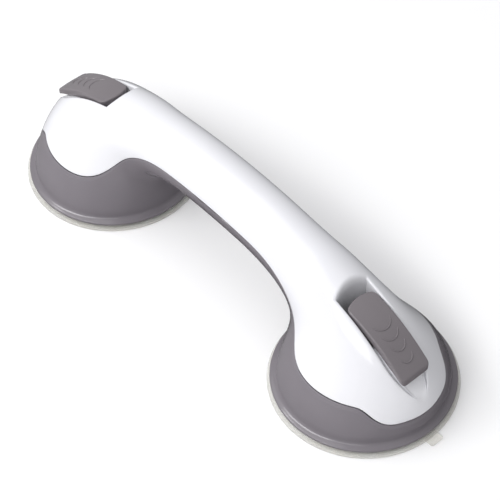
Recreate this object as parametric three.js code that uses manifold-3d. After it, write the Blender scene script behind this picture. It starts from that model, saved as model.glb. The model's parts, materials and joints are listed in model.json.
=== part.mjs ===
// Suction grab bar: a moulded handle on two lever-locked suction cups.
// Millimetres, +Z up. The pads stand on z = 0, the bar runs along X and is centred on the origin.
import * as THREE from 'three';
import * as BufferGeometryUtils from 'three/addons/utils/BufferGeometryUtils.js';
import Module from 'manifold-3d';

const wasm = await Module();
wasm.setup();

// ---- driving dimensions -------------------------------------------------------------------
const GAP = 0.3;               // clearance between pieces that touch
const CUP_X = 100;             // cup axis, from the middle of the bar
const PAD_R = 49.3;            // suction pad radius
const PAD_T = 2.4;             // pad thickness
const PAD_LIFT = 4.2;          // rise of the pad's middle while the lever is locked
const FACE_R = 34;             // the pad is flat on the wall from here outwards
const TAB_W = 8;               // pull tab on the pad's rim
const TAB_OUT = 4.2;

const RIM_Z = PAD_T + 2 * GAP; // lower edge of the bell
const RIM_R = 47.8;            // bell rim
const WALL = 2.4;              // shell thickness
const SKIN_START = 7;          // the smooth skin starts this far above the rim
const BELL_R = 44.9;           // bell radius and dome height, both measured from the rim
const DOME_H = 41.4;
const GRIP_Z = 57.5;           // grip centre at mid length, above the rim
const GRIP_DROP = 13;          // how far the grip's arch has dropped 100 mm from the middle
const GRIP_W = 16.8;           // grip half width and half height
const GRIP_H = 17;
const GRIP_RUN = 66;           // the grip keeps its section up to here, then closes over the dome
const GRIP_FADE = 38.3;
const BLEND = 34;              // width of the blend between grip and dome

const SEAM_LOBE = 13.8;        // seam height above the rim at the outer end, and around the bell
const SEAM_SIDE = 22.4;

const PIN_Z = 50;              // lever pin height while locked
const PIN_R = 2;
const CAM_LOCKED = 11;         // cam reach below the pin, locked and fully open
const CAM_OPEN = 7;
const OPEN_ANGLE = Math.PI / 2;
const CAM_RATE = (CAM_LOCKED - CAM_OPEN) / OPEN_ANGLE;
const LEVER_W = 9.3;           // lever half width
const LEVER_T = 5.6;           // thickness of its arm
const LEVER_IN = -5.8;         // lever ends, measured from the pin
const LEVER_OUT = 35.8;
const CHEEK_IN = 3.6;          // the cam cheeks lie between these half widths
const CHEEK_OUT = 6.6;
const LEVER_CORNER = 1.5;      // plan radius of the lever's outer corners
const LEVER_BOW = 2.2;         // its inner end bows inwards by this much
const STEM_R = 3.2;            // plunger stem
const HEAD_R = 4.4;
const DISC_R = 16;             // plunger disc on the pad
const DISC_T = 2.7;
const DISC_Z = PAD_T + PAD_LIFT + GAP;

const PLATE_T = 1.5;           // cam plate under the lever
const PLATE_TOP = PIN_Z - CAM_LOCKED - GAP;
const FLOOR_TOP = PLATE_TOP - PLATE_T - GAP;
const POCKET_W = 10;           // lever pocket half width
const POCKET_IN = 86;          // pocket ends along X
const POCKET_OUT = 140;
const WELL_OUT = 12.2;         // outer end of the deep well around the cam, measured from the pin
const DECK_Z = 16;             // web across the inside of each bell
const DECK_T = 2.5;
const DECK_OUT = 133.5;        // it stops short of the seam's low outer end

const SCREW_R = 1.5;           // housing screws
const SCREW_HEAD_R = 3;
const SCREW_HEAD_T = 2;
const SCREW_LENGTH = 14;
const BOSS_R = 4;
const SCREW_RING = 27;         // their distance from the cup axis
const SCREW_ANGLES = [50, 130, 230, 310];
const GRIP_SCREW_X = 30;
const GRIP_SEAT = 46;          // depth of the counterbore under the grip

// ---- materials ----------------------------------------------------------------------------
const material = (color, roughness, metalness = 0, opacity = 1) =>
  new THREE.MeshStandardMaterial({ color, roughness, metalness, opacity, transparent: opacity < 1 });
const WHITE = material(0xf0f0f4, 0.2);
const GREY = material(0x878287, 0.25);
const LEVER_GREY = material(0x777377, 0.4);
const CLEAR = material(0xf0efe6, 0.3, 0, 0.5);
const NYLON = material(0xc8c8c4, 0.5);
const STEEL = material(0xb8bbc0, 0.3, 1);

// ---- small helpers ------------------------------------------------------------------------
const clamp01 = (t) => Math.min(1, Math.max(0, t));
function smooth(from, to, t) {
  const s = clamp01((t - from) / (to - from));
  return s * s * (3 - 2 * s);
}
const mix = (a, b, t) => a + (b - a) * t;

function toSolid(geometry) {
  const bare = geometry.clone();
  bare.deleteAttribute('normal');
  bare.deleteAttribute('uv');
  const merged = BufferGeometryUtils.mergeVertices(bare, 1e-4);
  const vertProperties = new Float32Array(merged.attributes.position.array);
  const triVerts = new Uint32Array(merged.index.array);
  return new wasm.Manifold(new wasm.Mesh({ numProp: 3, vertProperties, triVerts }));
}

function toGeometry(solid) {
  const mesh = solid.getMesh();
  const geometry = new THREE.BufferGeometry();
  geometry.setAttribute('position', new THREE.BufferAttribute(mesh.vertProperties.slice(), 3));
  geometry.setIndex(new THREE.BufferAttribute(mesh.triVerts.slice(), 1));
  geometry.computeVertexNormals();
  return geometry;
}

// Upright cylinder between two heights.
function post(radius, bottom, top, x = 0, y = 0, sides = 20) {
  const geometry = new THREE.CylinderGeometry(radius, radius, top - bottom, sides);
  geometry.rotateX(Math.PI / 2);
  geometry.translate(x, y, (bottom + top) / 2);
  return geometry;
}

function block(x0, x1, y0, y1, z0, z1) {
  const geometry = new THREE.BoxGeometry(x1 - x0, y1 - y0, z1 - z0);
  geometry.translate((x0 + x1) / 2, (y0 + y1) / 2, (z0 + z1) / 2);
  return geometry;
}

// An outline in the XZ plane, given as [x, z] points, extruded from y0 to y1.
function sideExtrude(points, y0, y1) {
  const shape = new THREE.Shape(points.map(([x, z]) => new THREE.Vector2(x, z)));
  const geometry = new THREE.ExtrudeGeometry(shape, { depth: y1 - y0, bevelEnabled: false });
  geometry.rotateX(Math.PI / 2);
  geometry.translate(0, y1, 0);
  return geometry;
}

// ---- the moulded skin ---------------------------------------------------------------------
// The outside of the handle is the zero level of skinLevel: a grip that arches from cup to cup,
// blended into a dome on each cup axis. Heights here are above the rim.
const gripCentre = (u) => GRIP_Z - GRIP_DROP * (u / 100) ** 2;

function skinLevel(x, y, z) {
  const u = Math.abs(x);
  const r = Math.hypot(u - CUP_X, y);
  const dome = (r / BELL_R) ** 1.5 + (Math.max(z, 0) / DOME_H) ** 2;
  const domeLevel = (dome ** 0.455 - 1) * 40;
  const fade = (Math.max(0, u - GRIP_RUN) / GRIP_FADE) ** 1.9;
  const grip = (Math.abs(y) / GRIP_W) ** 1.9 + (Math.abs(z - gripCentre(u)) / GRIP_H) ** 1.9 + fade;
  const gripLevel = (grip ** (1 / 1.9) - 1) * 16;
  const near = Math.max(BLEND - Math.abs(domeLevel - gripLevel), 0) / BLEND;
  return Math.min(domeLevel, gripLevel) - near * near * BLEND / 4;
}

function skinNormal(p) {
  const h = 0.05;
  const n = new THREE.Vector3(
    skinLevel(p.x + h, p.y, p.z) - skinLevel(p.x - h, p.y, p.z),
    skinLevel(p.x, p.y + h, p.z) - skinLevel(p.x, p.y - h, p.z),
    skinLevel(p.x, p.y, p.z + h) - skinLevel(p.x, p.y, p.z - h));
  return n.divideScalar(2 * h);
}

// Where a ray that starts inside the handle leaves it.
function castOut(origin, direction) {
  const at = (t) => origin.clone().addScaledVector(direction, t);
  const level = (t) => {
    const p = at(t);
    return skinLevel(p.x, p.y, p.z);
  };
  let out = 2;
  while (level(out) < 0 && out < 110) out += 1.2;
  let inside = out - 1.2;
  for (let i = 0; i < 24; i += 1) {
    const middle = (inside + out) / 2;
    if (level(middle) < 0) inside = middle;
    else out = middle;
  }
  return at(out);
}

function settleOnSkin(point) {
  const p = point.clone();
  for (let i = 0; i < 12; i += 1) {
    const n = skinNormal(p);
    const step = skinLevel(p.x, p.y, p.z) / n.lengthSq();
    p.addScaledVector(n, -Math.max(-4, Math.min(4, step)));
  }
  return p;
}

// Height of the seam between the white and the grey shell: low at the outer end, level around
// the bell, then up the neck and along the side of the grip.
function seamHeight(u) {
  const bell = mix(SEAM_SIDE, SEAM_LOBE, smooth(123, 140, u));
  const width = mix(7.5, 5.2, smooth(50, 80, u));
  const rise = 1 / (1 + Math.exp((u - 69) / width));
  return bell + (gripCentre(u) + 1.5 - bell) * rise;
}

// ---- sections of the white shell ----------------------------------------------------------
// Cross-sections stand upright along the grip and fan out about a line across the cup at its end.
// They are close together where the seam turns up the neck.
const FAN_Z = 6;
const FAN_SECTIONS = 9;
const ACROSS = 12;
const SEAM_GAP = 0.8 * GAP;
const steps = (from, to, count) => Array.from({ length: count }, (_, i) => mix(from, to, i / count));
const UPRIGHT = [...steps(0, 48, 4), ...steps(48, 83, 7), ...steps(83, CUP_X, 2)];

function sectionFrame(index) {
  if (index < UPRIGHT.length) {
    const u = UPRIGHT[index];
    const z = mix(gripCentre(u), FAN_Z, smooth(45, 100, u));
    return { origin: new THREE.Vector3(u, 0, z), up: new THREE.Vector3(0, 0, 1) };
  }
  const end = castOut(new THREE.Vector3(CUP_X, 0, SEAM_LOBE + SEAM_GAP), new THREE.Vector3(1, 0, 0));
  const last = Math.atan2(end.z - FAN_Z, end.x - CUP_X);
  const s = (index - UPRIGHT.length) / (FAN_SECTIONS - 1);
  const angle = mix(last, Math.PI / 2, (1 - s) ** 1.5);
  return {
    origin: new THREE.Vector3(CUP_X, 0, FAN_Z),
    up: new THREE.Vector3(Math.cos(angle), 0, Math.sin(angle)),
  };
}

function sectionPoint({ origin, up }, turn) {
  const direction = up.clone().multiplyScalar(Math.cos(turn));
  direction.y = Math.sin(turn);
  return castOut(origin, direction);
}

function seamTurn(frame) {
  let low = 0;
  let high = Math.PI * 0.75;
  for (let i = 0; i < 26; i += 1) {
    const turn = (low + high) / 2;
    const p = sectionPoint(frame, turn);
    if (p.z > seamHeight(p.x) + SEAM_GAP) low = turn;
    else high = turn;
  }
  return low;
}

function upperSections() {
  const half = [];
  for (let i = 0; i < UPRIGHT.length + FAN_SECTIONS; i += 1) {
    const frame = sectionFrame(i);
    const limit = seamTurn(frame);
    const row = [];
    for (let j = 0; j <= ACROSS; j += 1) {
      row.push(sectionPoint(frame, limit * (2 * j / ACROSS - 1)));
    }
    half.push(row);
  }
  const mirrored = half.slice(1).map((row) => row.map((p) => new THREE.Vector3(-p.x, p.y, p.z)));
  return [...mirrored.reverse(), ...half];
}

const moveIn = (p, depth) => p.clone().addScaledVector(skinNormal(p).normalize(), -depth);

// Each section moved inwards, with its two edges carried on past the seam.
function innerSections(sections, depth) {
  return sections.map((row) => {
    const inner = row.map((p) => moveIn(p, depth));
    const first = inner[0].clone();
    const last = inner[inner.length - 1].clone();
    first.z -= 4;
    last.z -= 4;
    return [first, ...inner, last];
  });
}

// A closed solid from rows of points: the sheet itself, and a floor across each row's two ends.
function closeRows(rows) {
  const count = rows[0].length;
  const positions = [];
  const index = [];
  rows.forEach((row) => row.forEach((p) => positions.push(p.x, p.y, p.z + RIM_Z)));
  const id = (i, j) => i * count + j;
  for (let i = 0; i + 1 < rows.length; i += 1) {
    for (let j = 0; j + 1 < count; j += 1) {
      index.push(id(i, j), id(i + 1, j), id(i + 1, j + 1), id(i, j), id(i + 1, j + 1), id(i, j + 1));
    }
    const [a, b] = [id(i, 0), id(i + 1, 0)];
    const [c, d] = [id(i + 1, count - 1), id(i, count - 1)];
    index.push(a, c, b, a, d, c);
  }
  for (const [i, flip] of [[0, false], [rows.length - 1, true]]) {
    for (let j = 1; j + 1 < count; j += 1) {
      const face = [id(i, 0), id(i, j), id(i, j + 1)];
      index.push(...(flip ? face.reverse() : face));
    }
  }
  return solidFrom(positions, index);
}

function solidFrom(positions, index) {
  const geometry = new THREE.BufferGeometry();
  geometry.setAttribute('position', new THREE.Float32BufferAttribute(positions, 3));
  geometry.setIndex(index);
  return toSolid(dropFlatFaces(geometry));
}

// Faces whose corners merge at a section's tip are left out.
function dropFlatFaces(geometry) {
  const merged = BufferGeometryUtils.mergeVertices(geometry, 1e-3);
  const source = merged.index.array;
  const kept = [];
  for (let i = 0; i < source.length; i += 3) {
    const [a, b, c] = [source[i], source[i + 1], source[i + 2]];
    if (a !== b && b !== c && c !== a) kept.push(a, b, c);
  }
  merged.setIndex(kept);
  return merged;
}

// ---- the grey shell's columns -------------------------------------------------------------
// Columns climb from the rim around each cup to the seam, and on the inner side up the neck and
// along the underside of the grip to mid length.
const SEAM_COLUMNS = 10;
const NECK = UPRIGHT.filter((u) => u < 80).reverse();
const GRIP_COLUMNS = SEAM_COLUMNS + NECK.length;
const HALF_COLUMNS = GRIP_COLUMNS + 3;
const ROWS = 6;
const SIDE_TURN = THREE.MathUtils.degToRad(115);   // upright columns end here
const NECK_TURN = THREE.MathUtils.degToRad(166);   // and those that reach the seam end here

function seamPointAround(angle, gap) {
  let low = 4;
  let high = 50;
  const direction = new THREE.Vector3(Math.cos(angle), Math.sin(angle), 0);
  const at = (z) => castOut(new THREE.Vector3(CUP_X, 0, z), direction);
  for (let i = 0; i < 24; i += 1) {
    const z = (low + high) / 2;
    if (z < seamHeight(at(z).x) - gap) low = z;
    else high = z;
  }
  return at(low);
}

function seamPointAlong(u, gap) {
  const z = mix(gripCentre(u), FAN_Z, smooth(45, 100, u));
  const frame = { origin: new THREE.Vector3(u, 0, z), up: new THREE.Vector3(0, 0, 1) };
  let low = 0;
  let high = Math.PI * 0.75;
  for (let i = 0; i < 24; i += 1) {
    const turn = (low + high) / 2;
    const p = sectionPoint(frame, turn);
    if (p.z > seamHeight(p.x) - gap) low = turn;
    else high = turn;
  }
  return sectionPoint(frame, low);
}

function rimAngle(j) {
  if (j <= SEAM_COLUMNS) return SIDE_TURN * j / SEAM_COLUMNS;
  if (j <= GRIP_COLUMNS) return mix(SIDE_TURN, NECK_TURN, (j - SEAM_COLUMNS) / NECK.length);
  return mix(NECK_TURN, Math.PI, (j - GRIP_COLUMNS) / (HALF_COLUMNS - GRIP_COLUMNS));
}

// The upper end of column j, on the +Y side, with the direction in which the column arrives.
function columnTop(j) {
  if (j <= SEAM_COLUMNS) {
    const top = seamPointAround(rimAngle(j), SEAM_GAP);
    return { top, from: new THREE.Vector3(0, 0, -1), reach: 0.4 };
  }
  if (j <= GRIP_COLUMNS) {
    const t = (j - SEAM_COLUMNS) / (GRIP_COLUMNS - SEAM_COLUMNS);
    const top = seamPointAlong(NECK[j - SEAM_COLUMNS - 1], SEAM_GAP);
    const from = new THREE.Vector3(Math.sin(t * Math.PI / 2), 0, -Math.cos(t * Math.PI / 2));
    return { top, from, reach: 0.5 };
  }
  const side = seamPointAlong(0, SEAM_GAP);
  const centre = new THREE.Vector3(0, 0, GRIP_Z);
  const first = Math.atan2(side.y, side.z - GRIP_Z);
  const turn = mix(first, Math.PI, (j - GRIP_COLUMNS) / (HALF_COLUMNS - GRIP_COLUMNS));
  const top = sectionPoint({ origin: centre, up: new THREE.Vector3(0, 0, 1) }, turn);
  return { top, from: new THREE.Vector3(1, 0, 0), reach: 0.55 };
}

function column(j) {
  const angle = rimAngle(j);
  const outward = new THREE.Vector3(Math.cos(angle), Math.sin(angle), 0);
  const start = castOut(new THREE.Vector3(CUP_X, 0, SKIN_START), outward);
  const { top, from, reach } = columnTop(j);
  const length = start.distanceTo(top);
  const curve = new THREE.CubicBezierCurve3(
    start,
    start.clone().add(new THREE.Vector3(0, 0, length * 0.45)),
    top.clone().addScaledVector(from, length * reach),
    top);
  const points = [];
  for (let i = 0; i <= ROWS; i += 1) {
    const p = curve.getPoint(i / ROWS);
    points.push(i === 0 || i === ROWS ? p : settleOnSkin(p));
  }
  if (j === 0 || j === HALF_COLUMNS) points.forEach((p) => { p.y = 0; });
  if (j >= GRIP_COLUMNS) points[ROWS].x = 0;
  const rim = (r, z) => new THREE.Vector3(CUP_X, 0, z).addScaledVector(outward, r);
  return { rim: [rim(RIM_R, 0), rim(RIM_R, 1.4), rim(BELL_R - 0.5, 3.2)], points };
}

function cupColumns() {
  const half = Array.from({ length: HALF_COLUMNS + 1 }, (_, j) => column(j));
  const flip = (p) => new THREE.Vector3(p.x, -p.y, p.z);
  const other = half.slice(1, -1).reverse()
    .map(({ rim, points }) => ({ rim: rim.map(flip), points: points.map(flip) }));
  return [...half, ...other];
}

// A closed solid from both cups' columns: rim discs below, and a lid across the seam.
function closeColumns(columns) {
  const positions = [];
  const index = [];
  const rows = columns[0].length;
  const count = columns.length;
  for (const side of [1, -1]) {
    columns.forEach((points) => points.forEach((p) => positions.push(side * p.x, p.y, p.z + RIM_Z)));
  }
  const base = columns.length * rows;
  [1, -1].forEach((side, half) => {
    const id = (j, i) => half * base + (j % count) * rows + i;
    const face = (a, b, c) => index.push(...(side > 0 ? [a, b, c] : [a, c, b]));
    for (let j = 0; j < count; j += 1) {
      for (let i = 0; i + 1 < rows; i += 1) {
        face(id(j, i), id(j + 1, i), id(j + 1, i + 1));
        face(id(j, i), id(j + 1, i + 1), id(j, i + 1));
      }
    }
    for (let j = 1; j + 1 < count; j += 1) face(id(0, 0), id(j + 1, 0), id(j, 0));
    // the lid stops where the two halves meet at mid length
    for (let j = 0; j < GRIP_COLUMNS; j += 1) {
      const [a, b] = [id(j, rows - 1), id(j + 1, rows - 1)];
      const [c, d] = [id(count - j - 1, rows - 1), id((count - j) % count, rows - 1)];
      face(a, b, c);
      if (j > 0) face(a, c, d);
    }
  });
  return solidFrom(positions, index);
}

function lowerOuter(columns) {
  return closeColumns(columns.map(({ rim, points }) => [...rim, ...points]));
}

function lowerInner(columns, depth) {
  return closeColumns(columns.map(({ points }, j) => {
    const inner = points.map((p) => moveIn(p, depth));
    const across = Math.min(j, columns.length - j);
    if (across >= GRIP_COLUMNS) inner[ROWS].x = 0;
    const above = inner[ROWS].clone();
    if (across <= GRIP_COLUMNS) above.z += 4;
    else above.z += 0.01;
    const below = inner[0].clone();
    below.z = -2;
    return [below, ...inner, above];
  }));
}

// ---- lever pocket -------------------------------------------------------------------------
// Lever top, as a height above the pin, x from the pin.
const leverTop = (x) => 9 - 0.2 * x - 0.0093 * x * x;

function alongLever(from, to, steps, height) {
  return Array.from({ length: steps + 1 }, (_, i) => {
    const x = mix(from, to, i / steps);
    return [CUP_X + x, PIN_Z + height(x)];
  });
}

// Room for the lever and its swing: a deep well around the cam and a shallow channel outwards.
function pocketOutline(grow) {
  const wellOut = CUP_X + WELL_OUT + grow;
  const floor = (x) => leverTop(x) - LEVER_T - 1.3 - grow;
  const channel = alongLever(WELL_OUT + 0.5, POCKET_OUT - CUP_X + 3, 6, floor);
  return [
    [POCKET_IN - 2 - grow, 80],
    [POCKET_IN - grow, 62],
    [POCKET_IN + 0.4 - grow, 54],
    [POCKET_IN + 1.2 - grow, 46],
    [POCKET_IN + 2.6 - grow, FLOOR_TOP + 3.5 - grow],
    [POCKET_IN + 4.6 - grow, FLOOR_TOP - grow],
    [wellOut, FLOOR_TOP - grow],
    [wellOut, channel[0][1] - 0.5],
    ...channel.slice(grow > 0 ? 1 : 0),
    [POCKET_OUT + 3, 80],
  ];
}

const pocketSolid = (grow) =>
  toSolid(sideExtrude(pocketOutline(grow), -POCKET_W - grow, POCKET_W + grow));

// ---- shells -------------------------------------------------------------------------------
const largestBody = (solid) => solid.decompose().sort((a, b) => b.volume() - a.volume())[0];

function bothEnds(solid) {
  return solid.add(solid.rotate([0, 0, 180]));
}

function screwPlaces() {
  return SCREW_ANGLES.map((degrees) => {
    const angle = THREE.MathUtils.degToRad(degrees);
    return [CUP_X + SCREW_RING * Math.cos(angle), SCREW_RING * Math.sin(angle)];
  });
}

function makeUpperShell() {
  const sections = upperSections();
  const outer = closeRows(sections);
  const inner = closeRows(innerSections(sections, WALL));
  const middle = closeRows(innerSections(sections, WALL / 2));
  let cup = pocketSolid(WALL - 0.4).intersect(middle);
  for (const [x, y] of screwPlaces()) {
    const high = toSolid(post(BOSS_R, 30, 70, x, y, 12)).intersect(middle);
    cup = cup.add(high).add(toSolid(post(BOSS_R, DECK_Z + DECK_T + GAP, 32, x, y, 12)));
  }
  const gripBoss = toSolid(post(BOSS_R, GRIP_Z - 8, 90, GRIP_SCREW_X, 0, 12)).intersect(middle);
  let shell = outer.subtract(inner).add(bothEnds(cup.add(gripBoss)));
  shell = shell.subtract(bothEnds(pocketSolid(0)));
  const slot = block(CUP_X - 4.9, CUP_X + 4.9, -CHEEK_IN, CHEEK_IN, FLOOR_TOP - 4, FLOOR_TOP + 1);
  shell = shell.subtract(bothEnds(toSolid(slot)));
  for (const [x, y] of screwPlaces()) {
    shell = shell.subtract(bothEnds(toSolid(post(SCREW_R + GAP, DECK_Z, 31, x, y, 8))));
  }
  const pilot = toSolid(post(SCREW_R + GAP, 40, 62, GRIP_SCREW_X, 0, 8));
  return largestBody(shell.subtract(bothEnds(pilot)));
}

function makeLowerShell() {
  const columns = cupColumns();
  const outer = lowerOuter(columns);
  const inner = lowerInner(columns, WALL);
  const middle = lowerInner(columns, WALL / 2);
  const deck = toSolid(block(40, DECK_OUT, -60, 60, DECK_Z, DECK_Z + DECK_T)).intersect(middle);
  const seat = post(BOSS_R + 1, GRIP_SEAT - 8, GRIP_Z - 8 - GAP, GRIP_SCREW_X, 0, 12);
  const gripSeat = toSolid(seat).intersect(middle);
  let shell = outer.subtract(inner).add(bothEnds(deck.add(gripSeat)));
  const stemHole = post(HEAD_R + 2 * GAP, DECK_Z - 1, DECK_Z + 4, CUP_X, 0);
  shell = shell.subtract(bothEnds(toSolid(stemHole)));
  for (const [x, y] of screwPlaces()) {
    const screwHole = post(SCREW_R + GAP, DECK_Z - 1, DECK_Z + 4, x, y, 8);
    shell = shell.subtract(bothEnds(toSolid(screwHole)));
  }
  const bore = toSolid(post(SCREW_R + GAP, 30, 60, GRIP_SCREW_X, 0, 8));
  const counterbore = toSolid(post(SCREW_HEAD_R + 2 * GAP, 30, GRIP_SEAT, GRIP_SCREW_X, 0));
  return largestBody(shell.subtract(bothEnds(bore.add(counterbore))));
}

// ---- pieces of one cup, placed for the +X end ----------------------------------------------
function padProfile() {
  const rise = (r) => PAD_LIFT * (1 - smooth(DISC_R - 4, FACE_R, r));
  const radii = [0, 16, 22, 28, FACE_R];
  const below = radii.map((r) => new THREE.Vector2(r, rise(r)));
  const above = radii.map((r) => new THREE.Vector2(r, rise(r) + PAD_T)).reverse();
  return [
    ...below,
    new THREE.Vector2(PAD_R - 0.4, 0),
    new THREE.Vector2(PAD_R, 0.5),
    new THREE.Vector2(PAD_R, 1.2),
    new THREE.Vector2(PAD_R - 2.4, PAD_T),
    ...above,
  ];
}

function makePad() {
  const disc = new THREE.LatheGeometry(padProfile(), 36);
  disc.rotateX(Math.PI / 2);
  const tab = block(PAD_R - 2, PAD_R + TAB_OUT, -TAB_W / 2, TAB_W / 2, 0.2, 1.2);
  const pad = toSolid(disc);
  return pad.add(toSolid(tab)).translate([CUP_X, 0, 0]);
}

function makePlunger() {
  const disc = toSolid(post(DISC_R, DISC_Z, DISC_Z + DISC_T, 0, 0, 32));
  const stem = toSolid(post(STEM_R, DISC_Z + 1, PIN_Z, 0, 0, 24));
  const head = new THREE.CylinderGeometry(HEAD_R, HEAD_R, 2 * STEM_R, 24);
  const eye = toSolid(head).translate([0, 0, PIN_Z]);
  const hole = new THREE.CylinderGeometry(PIN_R + GAP, PIN_R + GAP, 4 * STEM_R, 16);
  const bore = toSolid(hole).translate([0, 0, PIN_Z]);
  return disc.add(stem).add(eye).subtract(bore).translate([CUP_X, 0, 0]);
}

function makePin() {
  const pin = new THREE.CylinderGeometry(PIN_R, PIN_R, 2 * CHEEK_OUT, 16);
  return toSolid(pin).translate([CUP_X, 0, PIN_Z]);
}

// The cam is the curve whose reach below the pin falls evenly as the lever opens.
function camPoint(angle) {
  const reach = CAM_LOCKED - CAM_RATE * angle;
  const x = -reach * Math.sin(angle) + CAM_RATE * Math.cos(angle);
  const z = -reach * Math.cos(angle) - CAM_RATE * Math.sin(angle);
  return [CUP_X + x, PIN_Z + z];
}

// The lever's outline seen from above, as an upright block: rounded outer corners, bowed inner end.
function leverPlan() {
  const inner = CUP_X + LEVER_IN;
  const outer = CUP_X + LEVER_OUT;
  const plan = new THREE.Shape();
  plan.moveTo(inner + LEVER_BOW, -LEVER_W);
  plan.lineTo(outer - LEVER_CORNER, -LEVER_W);
  plan.quadraticCurveTo(outer, -LEVER_W, outer, -LEVER_W + LEVER_CORNER);
  plan.lineTo(outer, LEVER_W - LEVER_CORNER);
  plan.quadraticCurveTo(outer, LEVER_W, outer - LEVER_CORNER, LEVER_W);
  plan.lineTo(inner + LEVER_BOW, LEVER_W);
  plan.quadraticCurveTo(inner - LEVER_BOW, 0, inner + LEVER_BOW, -LEVER_W);
  const block = new THREE.ExtrudeGeometry(plan, { depth: 60, bevelEnabled: false, curveSegments: 8 });
  block.translate(0, 0, 20);
  return toSolid(block);
}

function makeLever() {
  const top = alongLever(LEVER_IN, LEVER_OUT, 14, leverTop).reverse();
  const underside = (x) => leverTop(x) - mix(4.4, LEVER_T, smooth(LEVER_IN, 6, x));
  const bottom = alongLever(LEVER_IN, LEVER_OUT, 8, underside);
  const arm = toSolid(sideExtrude([...bottom, ...top], -LEVER_W, LEVER_W));
  const plan = leverPlan();
  const cam = Array.from({ length: 11 }, (_, i) => camPoint(OPEN_ANGLE * i / 10));
  const cheek = [
    [CUP_X + 8.5, PIN_Z + leverTop(8.5) - 2],
    [CUP_X + LEVER_IN, PIN_Z + leverTop(LEVER_IN) - 2],
    ...cam.reverse(),
    [CUP_X + 7.5, PIN_Z - 6.5],
  ].reverse();
  const cheeks = toSolid(sideExtrude(cheek, -CHEEK_OUT, CHEEK_OUT));
  const slot = toSolid(block(CUP_X - 20, CUP_X + 6.5, -CHEEK_IN, CHEEK_IN, PIN_Z - 20, PIN_Z + 5));
  const hole = new THREE.CylinderGeometry(PIN_R + GAP, PIN_R + GAP, 30, 16);
  const bore = toSolid(hole).translate([CUP_X, 0, PIN_Z]);
  return arm.intersect(plan).add(cheeks).subtract(slot).subtract(bore);
}

function makeCamPlate() {
  const plate = toSolid(block(CUP_X - 7.5, CUP_X + 8.5, -8.5, 8.5, FLOOR_TOP + GAP, PLATE_TOP));
  const slot = block(CUP_X - 4.9, CUP_X + 4.9, -CHEEK_IN, CHEEK_IN, FLOOR_TOP - 1, PLATE_TOP + 1);
  return plate.subtract(toSolid(slot));
}

// Compression spring around the stem, between the plunger disc and the web.
class Helix extends THREE.Curve {
  constructor(radius, bottom, top, turns) {
    super();
    Object.assign(this, { radius, bottom, top, turns });
  }

  getPoint(t, target = new THREE.Vector3()) {
    const angle = 2 * Math.PI * this.turns * t;
    const z = mix(this.bottom, this.top, t);
    return target.set(this.radius * Math.cos(angle), this.radius * Math.sin(angle), z);
  }
}

function makeSpring() {
  const wire = 0.55;
  const margin = GAP + wire + 0.1;
  const curve = new Helix(9, DISC_Z + DISC_T + margin, DECK_Z - margin, 3);
  const section = new THREE.Shape();
  section.absarc(0, 0, wire, 0, 2 * Math.PI);
  const options = { steps: 36, extrudePath: curve, curveSegments: 3, bevelEnabled: false };
  const spring = new THREE.ExtrudeGeometry(section, options);
  return toSolid(spring).translate([CUP_X, 0, 0]);
}

// Screw with its head down, the head's top face at the given height.
function makeScrew(x, y, seat) {
  const head = toSolid(post(SCREW_HEAD_R, seat - SCREW_HEAD_T, seat, x, y, 12));
  const shank = toSolid(post(SCREW_R, seat - 1, seat + SCREW_LENGTH, x, y, 8));
  const recess = toSolid(post(1, seat - SCREW_HEAD_T - 1, seat - SCREW_HEAD_T + 1, x, y, 6));
  return head.add(shank).subtract(recess);
}

// ---- assembly -----------------------------------------------------------------------------
const part = new THREE.Group();

function place(name, solid, look) {
  const mesh = new THREE.Mesh(toGeometry(solid), look);
  mesh.name = name;
  part.add(mesh);
}

place('upper_shell', makeUpperShell(), WHITE);
place('lower_shell', makeLowerShell(), GREY);

for (const [end, turn] of [['near', 0], ['far', 180]]) {
  const placeAt = (name, solid, look) => place(`${end}_${name}`, solid.rotate([0, 0, turn]), look);
  placeAt('suction_pad', makePad(), CLEAR);
  placeAt('plunger', makePlunger(), NYLON);
  placeAt('return_spring', makeSpring(), STEEL);
  placeAt('cam_plate', makeCamPlate(), STEEL);
  placeAt('pivot_pin', makePin(), STEEL);
  placeAt('lever', makeLever(), LEVER_GREY);
  screwPlaces().forEach(([x, y], i) => {
    placeAt(`housing_screw_${i + 1}`, makeScrew(x, y, DECK_Z - GAP), STEEL);
  });
  placeAt('grip_screw', makeScrew(GRIP_SCREW_X, 0, GRIP_SEAT - GAP), STEEL);
}

export default part;
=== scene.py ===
"""Suction grab bar: the finished surfaces of every piece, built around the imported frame."""
import json
import math

import bmesh
import bpy
import numpy as np
from mathutils import Matrix, Vector


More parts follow.
